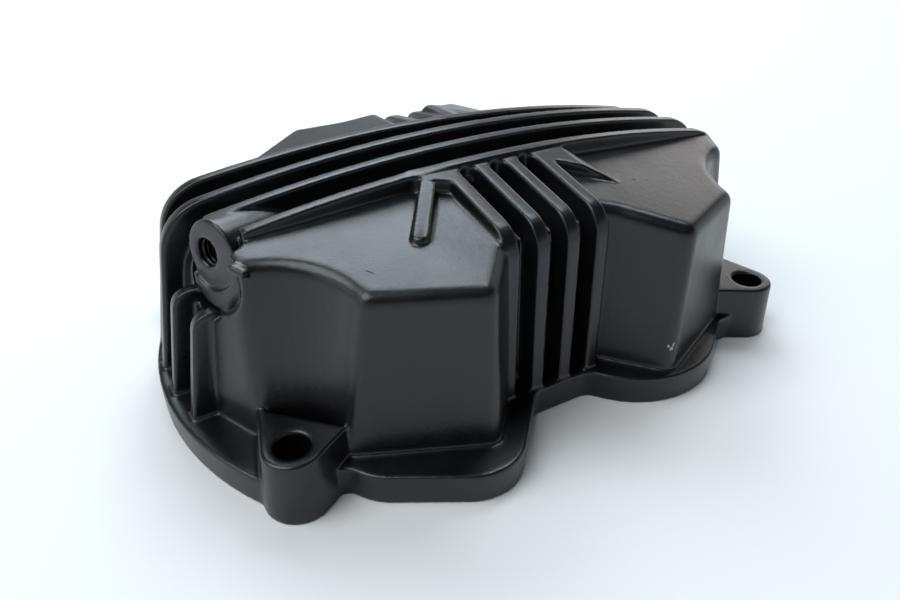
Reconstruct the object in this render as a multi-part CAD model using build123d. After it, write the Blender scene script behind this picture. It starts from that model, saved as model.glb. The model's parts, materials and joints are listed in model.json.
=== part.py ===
from build123d import *
import os
from math import atan2, cos, degrees, radians, sin, sqrt, tan

# Engine valve cover: one die casting, gasket face down on z = 0, long side along X.

# Gasket flange
end_reach = 78.2
end_arc = 66.0
end_shift = -4.0
bay_reach = 44.2
left_lobe = ((27.0, 48.2, 11.8), (18.0, 38.0, 11.9), (40.0, 40.0, 12.7))
right_lobe = ((27.0, 32.9, 22.5), (46.0, 37.0, 7.8))
flange_thick = 7.0
plan_blend_r = 4.0

# Bolt ears
bolt_x = 61.0
bolt_y = 40.8
bolt_hole = 7.0
ear_high = 14.0
ear_foot_r = 7.0
ear_draft = 4.0
ear_wing_end = (51.0, 41.0)
ear_wing_side = (63.5, 28.5)
ear_wing_r = 1.5
scallop_r = 13.6
scallop_draft = 8.5
scallop_out = (4.5, 3.0)

# Arched spine with its four long fins
wall = 3.2
fin_top = 51.3
arch_r = 350.0
fin_thick = 3.0
fin_pitch = 10.3
fin_high = 6.5
fin_foot = 76.5
fin_lean = 10.2
fin_end_deep = 5.0
fin_shoulder_r = 12.0
stub_fin_down = 20.1
stub_fin_r = 4.0
fin_b_drop = 0.5
fin_a_drop = 1.7
fin_a_tilt = 1.1

# The four box-shaped humps
hump_draft = 3.0
hump_end_draft = 6.5
hump_ref_x = 25.6
front_top = (46.8, 0.058, 0.1435)
back_top = (42.9, 0.32, 0.085)
hump_inner = (12.0, 41.4)
hump_nose = (23.3, 54.2)
hump_shoulder = (57.0, 39.8)
hump_end = (70.8, 15.0)
hump_column = (61.9, 33.4)
front_edge_r = 3.0
back_edge_r = 2.5
hump_corner_r = 3.0
column_r = 5.0

# Cross ribs and the web they spring from
rib_count = 4
rib_pitch = 7.45
rib_thick = 3.4
rib_mid_x = -2.8
rib_top = 50.3
rib_fall = 0.19
rib_foot_y = 43.9
rib_draft = 2.8
rib_bend_r = 7.0
groove_start = 17.2
groove_deep = 5.5
web_left = -22.8
web_right = 15.1
web_reach = 21.0
back_web_drop = 2.2

# Tab and ramp that run out diagonally from the web
tab_root = (-20.2, 19.0)
tab_tip = (-29.0, 32.2)
tab_wide = 3.4
tab_proud = 1.4
ramp_tip = (21.8, 31.0)
ramp_fork = 21.5

# Threaded boss on the left end
boss_inset = 12.4
boss_front = 8.1
boss_down = 11.7
boss_turn = 24.0
boss_tilt = 5.0
boss_r = 7.2
boss_shift = 1.6
boss_long = 34.0
chin_r = 7.6
chin_place = (1.2, 3.6, 3.6)
recess_r = 11.0
recess_deep = 3.0
recess_drop = 1.0
fin_c_clear = 1.3
fin_d_clear = 5.6
thread_drill = 5.0
thread_deep = 14.0
mouth_r = 3.2

# Worked out from the sizes above
fin_rows = [fin_pitch * (n - 1.5) for n in range(4)]
spine_half = fin_rows[3] + fin_thick / 2
spine_core = spine_half - fin_thick
rib_rows = [rib_mid_x + rib_pitch * (n - (rib_count - 1) / 2) for n in range(rib_count)]
stub_fin_top = fin_top - stub_fin_down
boss_x = boss_inset - fin_foot
boss_z = fin_top - boss_down
big = 400.0


def both_ends(shape):
    return shape + mirror(shape, Plane.YZ)


def mirrored(shape):
    """the shape with its images across the two upright middle planes"""
    pair = both_ends(shape)
    return pair + mirror(pair, Plane.XZ)


def disc(x, y, r):
    return Pos(x, y) * Circle(r)


def near(items, x, y):
    return items.sort_by_distance((x, y, 0))[0]


def up(plan, high):
    return extrude(plan, high, dir=(0, 0, 1))


def front_view(plan, y_low, y_high):
    """stand a front view outline up between two distances along Y"""
    return extrude(Plane((0, y_high, 0), x_dir=(1, 0, 0), z_dir=(0, -1, 0)) * plan, y_high - y_low)


def side_view(plan, x_low, x_high):
    """stand a side view outline (Y, Z) up between two distances along X"""
    return extrude(Plane((x_low, 0, 0), x_dir=(0, 1, 0), z_dir=(1, 0, 0)) * plan, x_high - x_low)


def above(x, y, z, fall_x, fall_y):
    """everything above a sloping plane through a point"""
    normal = Vector(fall_x, fall_y, 1).normalized()
    return Plane(origin=(x, y, z), z_dir=normal) * Pos(0, 0, big / 2) * Box(big, big, big)


def lobes(side, rounds):
    """the pair of flange lobes on one side, in front and behind, as hulls round their discs"""
    rings = Sketch() + [disc(side * x, y, r) for x, y, r in rounds]
    lobe = make_hull(rings.edges())
    return lobe + mirror(lobe, Plane.XZ)


def flange_plan():
    ends = both_ends(disc(end_arc - end_reach, end_shift, end_arc))
    plan = ends & Rectangle(2 * end_reach, 2 * bay_reach)
    plan += lobes(-1, left_lobe) + lobes(1, right_lobe)
    plan += mirrored(disc(bolt_x, bolt_y, ear_foot_r - 1))
    return offset(offset(plan, plan_blend_r), -plan_blend_r)


def ear():
    """one bolt ear, its two wings running back into the hump"""
    rings = disc(bolt_x, bolt_y, ear_foot_r)
    rings += disc(*ear_wing_end, ear_wing_r) + disc(*ear_wing_side, ear_wing_r)
    hanging = extrude(make_hull(rings.edges()), ear_high, taper=ear_draft)
    return mirror(hanging, Plane.XY)


def fin_profile(inset_top=0.0, inset_end=0.0):
    """front view of the arched spine: its fins at no inset, its skin at more"""
    lean = tan(radians(fin_lean))
    foot = fin_foot - inset_end + lean * flange_thick
    head = foot - lean * big / 4
    block = Polygon((-foot, 0), (foot, 0), (head, big / 4), (-head, big / 4), align=None)
    plan = block & Pos(0, fin_top - inset_top - arch_r) * Circle(arch_r)
    return fillet(plan.vertices().sort_by(Axis.Y)[-2:], fin_shoulder_r)


def fin(y, drop=0.0, tilt=0.0):
    """one long fin, its foot following the round end of the flange"""
    sag = end_arc - sqrt(end_arc**2 - y**2)
    body = front_view(fin_profile(drop, sag), y - fin_thick / 2, y + fin_thick / 2)
    return Rot(0, tilt, 0) * body - Box(big, big, 2 * (flange_thick - 1))


def cut_fin(y, start):
    """a long fin that starts at the threaded boss, and the short one left below the boss"""
    rest = Pos(start, 0, 0) * Box(big, big, big, align=(Align.MIN, Align.CENTER, Align.CENTER))
    sag = end_arc - sqrt(end_arc**2 - y**2)
    plan = fin_profile(0, sag) & Pos(start, 0) * Rectangle(30, 2 * stub_fin_top, align=(Align.MAX, Align.CENTER))
    plan = fillet(plan.vertices().group_by(Axis.Y)[-1].sort_by(Axis.X)[0], stub_fin_r)
    stub = front_view(plan, y - fin_thick / 2, y + fin_thick / 2)
    return (fin(y) & rest) + (stub - Box(big, big, 2 * (flange_thick - 1)))


def fins():
    """the four long fins, front to back"""
    front = cut_fin(fin_rows[0], boss_x + fin_d_clear) + cut_fin(fin_rows[1], boss_x + fin_c_clear)
    return front + fin(fin_rows[2], fin_b_drop) + fin(fin_rows[3], fin_a_drop, fin_a_tilt)


def hump_plan():
    points = [(4, 8), (4, hump_inner[1] - 6), hump_inner, hump_nose, hump_shoulder]
    points += [hump_column, hump_end, (hump_end[0], 8)]
    return make_face(Polyline(*reversed(points), close=True))


def scallop(grow=0.0):
    """the hollow cone that clears the bolt head beside a hump"""
    flare = fin_top * tan(radians(scallop_draft))
    cone = Cone(scallop_r + grow, scallop_r + grow + flare, fin_top, align=(Align.CENTER, Align.CENTER, Align.MIN))
    return Pos(bolt_x + scallop_out[0], bolt_y + scallop_out[1]) * cone


def beyond_end(inset=0.0):
    """everything beyond the leaning end wall of a hump"""
    along = Vector(hump_end[0] - hump_column[0], hump_end[1] - hump_column[1]).normalized()
    outward = Vector(-along.Y, along.X)
    lean = radians(hump_end_draft)
    normal = Vector(outward.X * cos(lean), outward.Y * cos(lean), sin(lean))
    origin = Vector(*hump_column, flange_thick) - outward * inset
    return Plane(origin=origin, z_dir=normal) * Pos(0, 0, big / 2) * Box(big, big, big)


def hump_room(slopes, inset=0.0):
    """the block of the right back hump, or the room inside it at an inset"""
    top, fall_out, fall = slopes
    plan = hump_plan()
    if inset:
        plan = offset(plan, -inset, kind=Kind.INTERSECTION)
    body = extrude(plan, fin_top + 4, taper=hump_draft)
    body -= scallop(inset)
    body -= beyond_end(inset)
    return body - above(hump_ref_x, spine_half, top - inset, fall_out, fall)


def hump(slopes, edge_r):
    """one hump of the right back quarter with its sloping flat top and soft edges"""
    body = hump_room(slopes)
    for spot, r in ((hump_nose, hump_corner_r), ((52, 42), hump_corner_r), ((62.4, 30), column_r)):
        upright = body.edges().filter_by(lambda e: abs((e % 0.5).Z) > 0.9)
        body = fillet(near(upright, *spot), r)
    rim = body.faces().sort_by(Axis.Z)[-1].edges()
    rim = rim.filter_by(lambda e: (e @ 0.5).Y > 12 and (e @ 0.5).X > 6)
    return fillet(rim, edge_r) - Box(big, 2 * spine_core + fin_thick / 2, big)


def hump_height(x, y):
    top, fall_out, fall = front_top
    return top - fall_out * (abs(x) - hump_ref_x) - fall * (abs(y) - spine_half)


def rib_profile(inset=0.0, start=0.0):
    """side view of a cross rib from the spine out to one side"""
    lean = tan(radians(rib_draft))
    head = rib_top - inset + rib_fall * spine_half
    foot = rib_foot_y - inset
    bend = (foot - lean * head) / (1 - lean * rib_fall)
    points = [(start, 0), (foot, 0), (bend, head - rib_fall * bend), (start, head - rib_fall * start)]
    plan = Polygon(*points, align=None)
    return fillet(near(plan.vertices(), bend, head), max(rib_bend_r - inset, 1))


def groove(x, wide):
    """the slot between two ribs, round at its inner end, down to the web floor"""
    plan = disc(x, groove_start + wide / 2, wide / 2)
    plan += Pos(x, groove_start + wide / 2 + 30) * Rectangle(wide, 60)
    return Pos(0, 0, flange_thick) * up(plan, 60) - side_view(rib_profile(groove_deep), x - wide, x + wide)


def web():
    """ribs, the skin between them and the flat they spring from, on the back"""
    left, right = rib_rows[0] - rib_thick / 2, rib_rows[-1] + rib_thick / 2
    body = side_view(rib_profile(0, spine_core), left, right)
    for one, two in zip(rib_rows, rib_rows[1:]):
        body -= groove((one + two) / 2, two - one - rib_thick)
    points = [(web_left, spine_core), (web_left, spine_half), (left, web_reach), (left + 1, groove_start)]
    points += [(right, groove_start), (web_right, spine_half), (web_right, spine_core)]
    flat = up(Polygon(*points, align=None), 80)
    flat -= above(0, spine_half, rib_top, 0, rib_fall)
    return body + flat


def tab():
    """a low bar with a round end that slopes down onto the hump beside it"""
    way = Vector(tab_tip[0] - tab_root[0], tab_tip[1] - tab_root[1])
    bar = Rectangle(way.length, tab_wide, align=(Align.MIN, Align.CENTER)) + disc(way.length, 0, tab_wide / 2)
    root_z = rib_top - rib_fall * (tab_root[1] - spine_half)
    slope = (root_z - hump_height(*tab_tip) - tab_proud) / way.length
    body = up(bar, 80) - above(0, 0, root_z, slope, 0)
    return Pos(*tab_root) * Rot(0, 0, degrees(atan2(way.Y, way.X))) * body


def ramp():
    """the wedge that carries the web down onto the right hump"""
    edge = rib_rows[-1] + rib_thick / 2
    points = [(edge, spine_core), (web_right, spine_core), (web_right, spine_half), ramp_tip]
    points += [(edge, ramp_fork)]
    body = up(Polygon(*points, align=None), 80)
    body -= above(0, spine_half, rib_top, 0, rib_fall)
    drop = rib_top - rib_fall * (ramp_tip[1] - spine_half) - hump_height(*ramp_tip)
    return body - above(web_right, spine_half, rib_top, drop / (ramp_tip[0] - web_right), rib_fall)


def boss_place(out=0.0, aside=0.0, down=0.0):
    """seat of the threaded boss, its Z pointing out of the mouth"""
    turn, tilt = radians(boss_turn), radians(boss_tilt)
    way = Vector(-cos(tilt) * cos(turn), -cos(tilt) * sin(turn), sin(tilt))
    level = Vector(-sin(turn), cos(turn), 0)
    upward = level.cross(way)
    origin = Vector(boss_x, -boss_front, boss_z) + way * out - level * aside - upward * down
    return Plane(origin=origin, x_dir=level, z_dir=way)


def rod(r, long):
    return Cylinder(r, long, align=(Align.CENTER, Align.CENTER, Align.MAX))


def drill(r, long):
    return Cylinder(r, long, align=(Align.CENTER, Align.CENTER, Align.MIN))


def boss():
    """the pad, the chin below it and the body that dies into the spine"""
    body = boss_place(0, boss_shift) * rod(boss_r, boss_long)
    return body + boss_place(*chin_place) * rod(chin_r, boss_long * 0.6)


def cavity():
    """the hollow the rockers work in, an even wall below the outside"""
    hollow = front_view(fin_profile(fin_high + wall, fin_end_deep + wall), -spine_half, spine_half)
    core = Box(big, 2 * spine_half, big)
    hollow += both_ends(hump_room(back_top, wall) - core)
    hollow += mirror(both_ends(hump_room(front_top, wall) - core), Plane.XZ)
    ribs = side_view(rib_profile(groove_deep + wall), rib_rows[0] - 5, rib_rows[-1] + 5) - core
    return hollow + ribs + mirror(ribs, Plane.XZ)


def cross_ribs():
    """the ribs, web, tab and ramp in front, and the ribs again behind, half a turn round and lower"""
    front = mirror(web(), Plane.XZ)
    back = Pos(0, 0, -back_web_drop) * Rot(0, 0, 180) * front
    return front + mirror(tab() + ramp(), Plane.XZ) + (back - Box(big, big, 2 * (flange_thick - 1)))


def cover():
    body = up(flange_plan(), flange_thick)
    body += both_ends(hump(back_top, back_edge_r))
    body += mirror(both_ends(hump(front_top, front_edge_r)), Plane.XZ)
    body += front_view(fin_profile(fin_high, fin_end_deep), -spine_half, spine_half)
    body -= boss_place(-recess_deep, boss_shift, recess_drop) * drill(recess_r, 30)
    body += fins()
    body += cross_ribs()
    body += mirrored(ear())
    body -= cavity() - boss_place(-recess_deep - wall, boss_shift, recess_drop) * drill(recess_r + wall, 40)
    body += boss()
    body -= boss_place(0, boss_shift) * drill(boss_r, 20)
    body -= boss_place() * Cylinder(thread_drill / 2, 2 * thread_deep)
    body -= boss_place() * Cone(0, mouth_r, mouth_r, align=(Align.CENTER, Align.CENTER, Align.MAX))
    body -= mirrored(Pos(bolt_x, bolt_y) * Cylinder(bolt_hole / 2, 60))
    return body


if __name__ == "__main__":
    os.makedirs("parts", exist_ok=True)
    casting = cover()
    export_step(casting, "parts/valve_cover.step")
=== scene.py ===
import json
import math

import bpy
from mathutils import Euler, Matrix, Vector


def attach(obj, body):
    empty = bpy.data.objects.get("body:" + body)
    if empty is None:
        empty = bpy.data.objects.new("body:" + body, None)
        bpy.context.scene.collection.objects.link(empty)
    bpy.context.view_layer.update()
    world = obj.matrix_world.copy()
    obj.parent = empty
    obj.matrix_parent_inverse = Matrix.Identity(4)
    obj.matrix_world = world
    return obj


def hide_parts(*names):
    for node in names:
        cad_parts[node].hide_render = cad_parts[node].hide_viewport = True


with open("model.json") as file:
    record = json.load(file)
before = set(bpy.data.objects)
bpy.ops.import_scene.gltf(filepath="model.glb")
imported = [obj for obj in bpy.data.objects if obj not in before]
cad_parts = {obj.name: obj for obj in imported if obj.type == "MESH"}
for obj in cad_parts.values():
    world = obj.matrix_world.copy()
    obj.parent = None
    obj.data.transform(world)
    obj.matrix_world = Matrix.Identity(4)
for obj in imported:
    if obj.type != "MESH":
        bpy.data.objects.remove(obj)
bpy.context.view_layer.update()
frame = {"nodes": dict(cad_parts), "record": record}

mm = 0.001


def deselectAll():
    if bpy.context.object and bpy.context.object.mode != "OBJECT":
        bpy.ops.object.mode_set(mode="OBJECT")
    bpy.ops.object.select_all(action="DESELECT")


def makeActive(obj):
    deselectAll()
    obj.select_set(True)
    bpy.context.view_layer.objects.active = obj


def applyAll(obj):
    makeActive(obj)
    for modifier in list(obj.modifiers):
        bpy.ops.object.modifier_apply(modifier=modifier.name)


def applyPlace(obj):
    makeActive(obj)
    bpy.ops.object.transform_apply(location=True, rotation=True, scale=True)


def srgb(hexColour):
    # sRGB hex to the linear colour that shaders use
    channels = [int(hexColour[i:i + 2], 16) / 255 for i in (0, 2, 4)]
    linear = [c / 12.92 if c <= 0.04045 else ((c + 0.055) / 1.055) ** 2.4 for c in channels]
    return (*linear, 1.0)


def addNode(tree, kind, settings=None, links=None):
    # settings hold properties and input values, links join an input to another node's output
    node = tree.nodes.new(kind)
    for key, value in (settings or {}).items():
        if isinstance(key, str) and hasattr(node, key):
            setattr(node, key, value)
        else:
            node.inputs[key].default_value = value
    for key, output in (links or {}).items():
        tree.links.new(output, node.inputs[key])
    return node


# Satin black baked enamel on pressure-cast aluminium: nearly black by itself, so what the eye
# gets is the broad soft reflection of the lights, broken by a faint orange peel.
paint = {
    "film": "08080a",
    "filmThin": "111113",     # a touch greyer where the film is thin
    "roughness": 0.27,
    "roughnessSpread": 0.08,
    "cloudSize": 9.0,         # mm
    "peelSize": 1.5,          # mm between crests of the orange peel
    "grainSize": 0.4,         # mm, drawn coarser than the real 0.1 mm so that it shows
    "peelDepth": 0.030,       # mm
    "grainDepth": 0.020,      # mm
    "ior": 1.5,
    "wornRoughness": 0.8,     # where the paint is chipped or scratched
    "filmThick": 0.06,        # mm, the step at a chip's rim
}

# Small damage in the paint, as place in mm, half length and half width in mm, and turn in degrees
damage = {
    "bare": "9d9a94",         # the cast metal under the paint, dull
    "scratch": "050505",
    "raggedness": 0.8,        # how far the grain eats into a spot's rim
    "rim": 1.35,
    "chips": (
        ((23.2, -52.6, 12.9), 0.50, 0.38, 0.0),
        ((23.6, -52.7, 14.0), 0.24, 0.62, 0.0),
        ((22.5, -52.2, 13.6), 0.42, 0.26, 0.0),
    ),
    "scratches": (
        ((-41.4, -36.2, 43.1), 1.20, 0.13, -56.8),
        ((25.8, -30.6, 44.8), 0.55, 0.22, -61.5),
    ),
}


def spotMask(tree, place, spot, ragged):
    # 1 inside a small turned ellipsoid with a ragged rim, 0 outside
    centre, halfLong, halfWide, turn = spot
    local = addNode(tree, "ShaderNodeMapping", {
        "vector_type": "TEXTURE", "Location": [c * mm for c in centre],
        "Rotation": (0, 0, math.radians(turn)),
        "Scale": (halfLong * mm, halfWide * mm, max(halfLong, halfWide) * mm),
    }, {"Vector": place})
    far = addNode(tree, "ShaderNodeVectorMath", {"operation": "LENGTH"}, {0: local.outputs["Vector"]})
    rim = addNode(tree, "ShaderNodeMath", {"operation": "ADD"}, {0: far.outputs["Value"], 1: ragged})
    inside = addNode(tree, "ShaderNodeMath", {"operation": "LESS_THAN", 1: damage["rim"]}, {0: rim.outputs["Value"]})
    return inside.outputs["Value"]


def anySpot(tree, place, spots, ragged):
    total = None
    for spot in spots:
        mask = spotMask(tree, place, spot, ragged)
        if total is None:
            total = mask
        else:
            either = addNode(tree, "ShaderNodeMath", {"operation": "MAXIMUM"}, {0: total, 1: mask})
            total = either.outputs["Value"]
    return total


def satinBlackEnamel():
    mat = bpy.data.materials.new("satinBlackEnamel")
    mat.use_nodes = True
    tree = mat.node_tree
    tree.nodes.clear()
    place = addNode(tree, "ShaderNodeTexCoord").outputs["Object"]
    cloud = addNode(tree, "ShaderNodeTexNoise", {
        "Scale": 1 / (paint["cloudSize"] * mm), "Detail": 3.0, "Roughness": 0.6,
    }, {"Vector": place})
    peel = addNode(tree, "ShaderNodeTexNoise", {
        "Scale": 1 / (paint["peelSize"] * mm), "Detail": 1.0,
    }, {"Vector": place})
    grain = addNode(tree, "ShaderNodeTexNoise", {
        "Scale": 1 / (paint["grainSize"] * mm), "Detail": 2.0,
    }, {"Vector": place})
    tint = addNode(tree, "ShaderNodeMix", {
        "data_type": "RGBA", 6: srgb(paint["film"]), 7: srgb(paint["filmThin"]),
    }, {0: cloud.outputs["Fac"]})
    rough = addNode(tree, "ShaderNodeMapRange", {
        "From Min": 0.3, "From Max": 0.7,
        "To Min": paint["roughness"], "To Max": paint["roughness"] + paint["roughnessSpread"],
    }, {"Value": cloud.outputs["Fac"]})
    ragged = addNode(tree, "ShaderNodeMath", {
        "operation": "MULTIPLY", 1: damage["raggedness"],
    }, {0: grain.outputs["Fac"]}).outputs["Value"]
    bare = anySpot(tree, place, damage["chips"], ragged)
    scratched = anySpot(tree, place, damage["scratches"], ragged)
    dull = addNode(tree, "ShaderNodeMix", {
        "data_type": "RGBA", 7: srgb(damage["scratch"]),
    }, {0: scratched, 6: tint.outputs[2]})
    colour = addNode(tree, "ShaderNodeMix", {
        "data_type": "RGBA", 7: srgb(damage["bare"]),
    }, {0: bare, 6: dull.outputs[2]})
    worn = addNode(tree, "ShaderNodeMath", {"operation": "MAXIMUM"}, {0: bare, 1: scratched})
    finish = addNode(tree, "ShaderNodeMix", {
        "data_type": "FLOAT", 3: paint["wornRoughness"],
    }, {0: worn.outputs["Value"], 2: rough.outputs["Result"]})
    peelBump = addNode(tree, "ShaderNodeBump", {
        "Strength": 1.0, "Distance": paint["peelDepth"] * mm,
    }, {"Height": peel.outputs["Fac"]})
    grainBump = addNode(tree, "ShaderNodeBump", {"Strength": 1.0, "Distance": paint["grainDepth"] * mm}, {
        "Height": grain.outputs["Fac"], "Normal": peelBump.outputs["Normal"],
    })
    dent = addNode(tree, "ShaderNodeMath", {"operation": "SUBTRACT", 0: 1.0}, {1: worn.outputs["Value"]})
    dentBump = addNode(tree, "ShaderNodeBump", {"Strength": 1.0, "Distance": paint["filmThick"] * mm}, {
        "Height": dent.outputs["Value"], "Normal": grainBump.outputs["Normal"],
    })
    shader = addNode(tree, "ShaderNodeBsdfPrincipled", {"IOR": paint["ior"], "Metallic": 0.0}, {
        "Base Color": colour.outputs[2], "Roughness": finish.outputs[0], "Normal": dentBump.outputs["Normal"],
    })
    addNode(tree, "ShaderNodeOutputMaterial", {}, {"Surface": shader.outputs["BSDF"]})
    return mat


enamel = satinBlackEnamel()
print("materials ready")

# The threaded boss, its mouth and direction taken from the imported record
boss = {
    "mouthAhead": 5.0,      # mm from the mount's point out to the mouth
    "threadR": 3.0,         # mm, M6
    "pitch": 1.0,           # mm
    "threadFrom": 0.5,      # mm in from the mouth
    "threadTo": 13.0,
    "ridge": 0.58,          # size of the ridge's triangle, as a share of the pitch
    "sunk": 0.1,            # mm that the ridge's foot goes into the bore's wall
    "lugFrom": (-62.7, -22.2, 43.0),   # the little lug beside the boss, mm
    "lugTo": (-60.8, -25.7, 42.7),
    "lugThick": 1.8,
    "chinR": 7.7,           # mm, the chin below the mouth, as in the solid with 0.1 mm to spare
    "chinPlace": (1.3, 3.6, 3.6),      # mm ahead of the mouth, aside and down
    "openWay": (-0.14, -0.86, 0.49),   # the hump's corner is cleared this way in front of the chin
    "openLong": 14.0,       # mm
}


def bossPlace():
    mount = next(m for m in frame["record"]["mounts"] if m["name"] == "threaded_boss")
    way = Vector(mount["axis"]).normalized()
    mouth = Vector(mount["pos_m"]) + way * boss["mouthAhead"] * mm
    return Matrix.Translation(mouth) @ way.to_track_quat("Z", "Y").to_matrix().to_4x4()


def addBoreCutter():
    # opens the tapping bore out to the thread's full width
    deselectAll()
    deep = boss["threadTo"] - boss["threadFrom"]
    bpy.ops.mesh.primitive_cylinder_add(vertices=48, radius=boss["threadR"] * mm, depth=deep * mm,
                                        location=(0, 0, -(boss["threadFrom"] + deep / 2) * mm))
    cutter = bpy.context.object
    cutter.name = "boreCutter"
    applyPlace(cutter)
    cutter.matrix_world = bossPlace()
    applyPlace(cutter)
    return cutter


def addCornerCutter():
    # the chin's disc drawn out past the hump's corner, which hides it in the solid
    out, aside, down = boss["chinPlace"]
    seat = bossPlace()
    way = seat.to_3x3() @ Vector((0, 0, 1))
    level = Vector((0, 0, 1)).cross(way).normalized()
    centre = seat.translation + (way * out + level * aside - way.cross(level) * down) * mm
    deselectAll()
    bpy.ops.mesh.primitive_circle_add(vertices=64, radius=boss["chinR"] * mm, fill_type="NGON",
                                      location=centre, rotation=way.to_track_quat("Z", "Y").to_euler())
    cutter = bpy.context.object
    cutter.name = "cornerCutter"
    applyPlace(cutter)
    bpy.ops.object.mode_set(mode="EDIT")
    bpy.ops.mesh.select_all(action="SELECT")
    reach = Vector(boss["openWay"]) * boss["openLong"] * mm
    bpy.ops.mesh.extrude_region_move(TRANSFORM_OT_translate={"value": reach})
    bpy.ops.mesh.select_all(action="SELECT")
    bpy.ops.mesh.normals_make_consistent(inside=False)
    bpy.ops.object.mode_set(mode="OBJECT")
    return cutter


def addLug():
    a, b = Vector(boss["lugFrom"]) * mm, Vector(boss["lugTo"]) * mm
    deselectAll()
    bpy.ops.mesh.primitive_cube_add(size=1, location=(a + b) / 2)
    lug = bpy.context.object
    lug.name = "lug"
    lug.scale = (boss["lugThick"] * mm, boss["lugThick"] * mm, (b - a).length)
    lug.rotation_euler = (b - a).to_track_quat("Z", "Y").to_euler()
    applyPlace(lug)
    return lug


# One die casting. The solid has sharp edges between its faces and the real one has the small
# rounds that a die leaves, so a copy is re-skinned and eased.
casting = {
    "name": "valveCoverCasting",
    "skinSize": 0.3,       # mm, how fine the new skin is
    "easing": 20,          # passes, an estimated 0.8 mm round on every edge
    "faces": 190000,
    "ribMiddle": -2.8,     # mm, the cross ribs as in the solid
    "ribPitch": 7.45,
    "ribThick": 3.4,
    "grooveClear": 0.2,    # mm left on the ribs' sides
    "grooveFall": 0.19,
    "grooveTop": (-17.9, 44.6),    # mm, where the slot floor starts, along Y and Z
    "grooveFront": -39.6,
    "grooveCut": (30, 40, 50, 34),     # mm, the cutters' depth, reach and height, and their middle in Z
    "quickSize": 0.9,
    "quickEasing": 3,
}


def addGrooveCutters():
    # deepens the slots between the cross ribs. The leftmost goes through into the hollow, over
    # about 2.5 by 14 mm, which no real cover has: end it higher to keep the wall
    cutters = []
    wide = casting["ribPitch"] - casting["ribThick"] - casting["grooveClear"]
    slope = math.atan(casting["grooveFall"])
    startY, startZ = casting["grooveTop"]
    deep, reach, high, middle = casting["grooveCut"]
    frontY = casting["grooveFront"] - deep / 2
    for n in (-1, 0, 1):
        x = casting["ribMiddle"] + n * casting["ribPitch"]
        deselectAll()
        bpy.ops.mesh.primitive_cube_add(size=1, location=(x * mm, frontY * mm, middle * mm),
                                        scale=(wide * mm, deep * mm, high * mm))
        front = bpy.context.object
        applyPlace(front)
        bpy.ops.mesh.primitive_cube_add(size=1, location=(0, -reach / 2 * mm, reach / 4 * mm),
                                        scale=(wide * mm, reach * mm, reach / 2 * mm))
        top = bpy.context.object
        applyPlace(top)
        top.rotation_euler.x = slope
        top.location = (x * mm, startY * mm, startZ * mm)
        applyPlace(top)
        cutters += [front, top]
    return cutters


def buildCasting(node):
    deselectAll()
    body = node.copy()
    body.data = node.data.copy()
    body.name = casting["name"]
    bpy.context.scene.collection.objects.link(body)
    body.parent = None
    body.matrix_world = Matrix()
    makeActive(body)
    bpy.ops.object.mode_set(mode="EDIT")
    bpy.ops.mesh.select_all(action="SELECT")
    bpy.ops.mesh.remove_doubles(threshold=0.002 * mm)
    bpy.ops.object.mode_set(mode="OBJECT")
    lug = addLug()
    others = [addBoreCutter(), addCornerCutter(), *addGrooveCutters(), lug]
    for other in others:
        cut = body.modifiers.new(other.name, "BOOLEAN")
        cut.object = other
        cut.operation = "UNION" if other == lug else "DIFFERENCE"
        cut.solver = "EXACT"
    applyAll(body)
    for other in others:
        bpy.data.objects.remove(other)
    skin = body.modifiers.new("skin", "REMESH")
    skin.mode = "VOXEL"
    skin.voxel_size = casting["skinSize"] * mm
    ease = body.modifiers.new("ease", "SMOOTH")
    ease.factor = 0.5
    ease.iterations = casting["easing"]
    applyAll(body)
    print("skin", len(body.data.polygons), "faces")
    thin = body.modifiers.new("thin", "DECIMATE")
    thin.ratio = min(1.0, casting["faces"] / (2 * len(body.data.polygons)))
    applyAll(body)
    print("thinned to", len(body.data.polygons), "faces")
    makeActive(body)
    bpy.ops.object.shade_smooth()
    body.data.materials.clear()
    body.data.materials.append(enamel)
    return body


def buildThread():
    # one ridge, a triangle with its point inwards, screwed down the bore
    deselectAll()
    ridge = boss["ridge"] * boss["pitch"]
    bpy.ops.mesh.primitive_circle_add(vertices=3, radius=ridge * mm)
    thread = bpy.context.object
    thread.name = "bossThread"
    bpy.ops.object.mode_set(mode="EDIT")
    bpy.ops.mesh.select_all(action="SELECT")
    bpy.ops.transform.rotate(value=math.radians(90), orient_axis="Z", center_override=(0, 0, 0))
    bpy.ops.transform.rotate(value=math.radians(90), orient_axis="X", center_override=(0, 0, 0))
    bpy.ops.object.mode_set(mode="OBJECT")
    across = [v.co.x for v in thread.data.vertices]
    if max(across) > -min(across):
        thread.scale.x = -1
    thread.location = ((boss["threadR"] + boss["sunk"] - ridge / 2) * mm, 0, -boss["threadTo"] * mm)
    applyPlace(thread)
    screw = thread.modifiers.new("screw", "SCREW")
    screw.axis = "Z"
    screw.screw_offset = boss["pitch"] * mm
    screw.iterations = round((boss["threadTo"] - boss["threadFrom"] - boss["pitch"]) / boss["pitch"])
    screw.steps = screw.render_steps = 40
    screw.use_merge_vertices = False
    applyAll(thread)
    thread.matrix_world = bossPlace()
    applyPlace(thread)
    bpy.ops.object.mode_set(mode="EDIT")
    bpy.ops.mesh.select_all(action="SELECT")
    bpy.ops.mesh.normals_make_consistent(inside=False)
    bpy.ops.object.mode_set(mode="OBJECT")
    bpy.ops.object.shade_smooth()
    thread.data.materials.append(enamel)
    print("thread", len(thread.data.polygons), "faces")
    return thread


node = frame["nodes"]["valve_cover"]
cover = buildCasting(node)
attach(cover, "root")
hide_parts("valve_cover")
thread = buildThread()
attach(thread, "root")
print("casting dressed")

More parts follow.
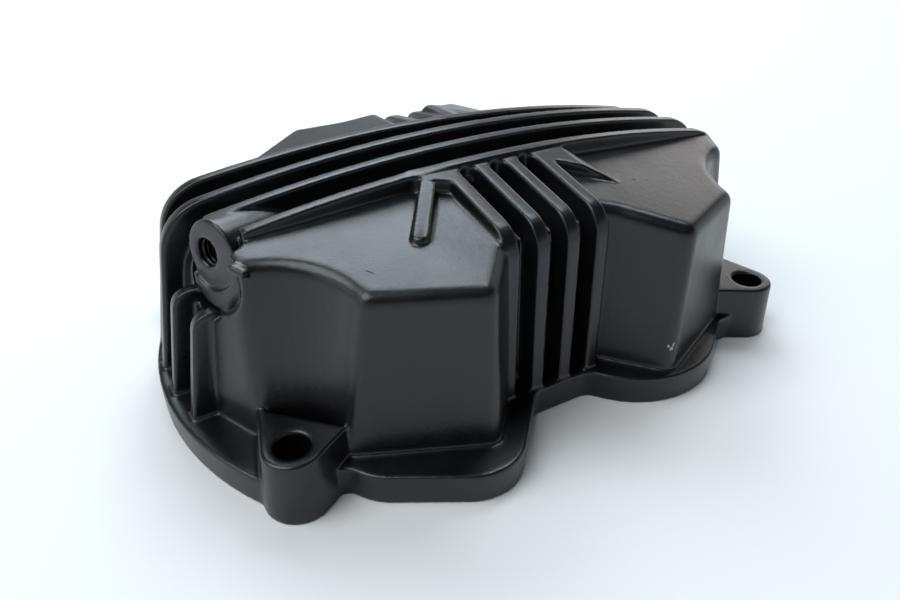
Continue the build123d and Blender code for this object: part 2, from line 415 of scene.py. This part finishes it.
# Pale floor, surroundings bright at the horizon and dark overhead, and soft boxes round the part
studio = {
    "floor": "eeefef",
    "floorWide": 6.0,           # m
    "surroundings": "f4f6fa",
    "low": 0.85,                # how bright the surroundings are at the horizon
    "high": 0.05,               # and overhead, the dark that the rounded rims pick up
    "fade": (0.12, 0.5),        # height between the two, as the sine of the angle
    "lights": {
        # tint, watts, size and place in m
        "key": {"tint": "e7f6ff", "watts": 6.8, "size": (0.6, 0.6), "place": (0.21, 0.77, 0.83)},
        "rim": {"tint": "fffaf8", "watts": 1.8, "size": (0.6, 0.5), "place": (0.95, 0.55, 0.44)},
        "edge": {"tint": "e7f6ff", "watts": 3.6, "size": (0.38, 0.38), "place": (0.49, 0.34, 1.04)},
        "fill": {"tint": "f4faff", "watts": 12.0, "size": (0.9, 0.9), "place": (-0.65, 0.06, 1.13)},
        "side": {"tint": "ffffff", "watts": 0.8, "size": (0.5, 0.5), "place": (-0.8, 0.1, 0.45)},
    },
    "aim": (0, 0, 0.03),
}


def buildFloor():
    deselectAll()
    bpy.ops.mesh.primitive_plane_add(size=studio["floorWide"], location=(0, 0, 0))
    floor = bpy.context.object
    floor.name = "floor"
    mat = bpy.data.materials.new("palePaper")
    mat.use_nodes = True
    shader = mat.node_tree.nodes["Principled BSDF"]
    shader.inputs["Base Color"].default_value = srgb(studio["floor"])
    shader.inputs["Roughness"].default_value = 0.9
    floor.data.materials.append(mat)


def addSoftBox(name, setting):
    deselectAll()
    place = Vector(setting["place"])
    way = place - Vector(studio["aim"])
    bpy.ops.object.light_add(type="AREA", location=place, rotation=way.to_track_quat("Z", "Y").to_euler())
    light = bpy.context.object.data
    light.name = name
    light.energy = setting["watts"]
    light.color = srgb(setting["tint"])[:3]
    light.shape = "RECTANGLE"
    light.size, light.size_y = setting["size"]


def buildLight():
    world = bpy.data.worlds.new("studioWorld")
    world.use_nodes = True
    tree = world.node_tree
    back = tree.nodes["Background"]
    back.inputs["Color"].default_value = srgb(studio["surroundings"])
    way = addNode(tree, "ShaderNodeTexCoord").outputs["Generated"]
    up = addNode(tree, "ShaderNodeSeparateXYZ", {}, {"Vector": way}).outputs["Z"]
    fade = addNode(tree, "ShaderNodeMapRange", {
        "interpolation_type": "SMOOTHSTEP", "From Min": studio["fade"][0], "From Max": studio["fade"][1],
        "To Min": studio["low"], "To Max": studio["high"],
    }, {"Value": up})
    tree.links.new(fade.outputs["Result"], back.inputs["Strength"])
    bpy.context.scene.world = world
    for name, setting in studio["lights"].items():
        addSoftBox(name, setting)


camera = {
    "place": (-83.8, -137.7, 107.6),   # mm
    "down": 32.81,                     # degrees below the horizon
    "turn": 30.11,                     # degrees to the right of straight ahead
    "roll": 0.42,
    "lens": 28.27,                     # mm on a 36 mm sensor
    "shift": 0.001,
}


def buildCamera():
    aim = Euler((math.radians(90 - camera["down"]), 0, -math.radians(camera["turn"]))).to_matrix()
    aim = aim @ Matrix.Rotation(math.radians(camera["roll"]), 3, "Z")
    deselectAll()
    bpy.ops.object.camera_add(location=[c * mm for c in camera["place"]], rotation=aim.to_euler())
    cam = bpy.context.object
    cam.data.lens = camera["lens"]
    cam.data.sensor_width = 36
    cam.data.shift_x = camera["shift"]
    cam.data.clip_start = 0.005
    cam.data.dof.use_dof = False
    bpy.context.scene.camera = cam


buildFloor()
buildLight()
buildCamera()
bpy.context.scene.view_settings.view_transform = "Standard"
print("studio ready")
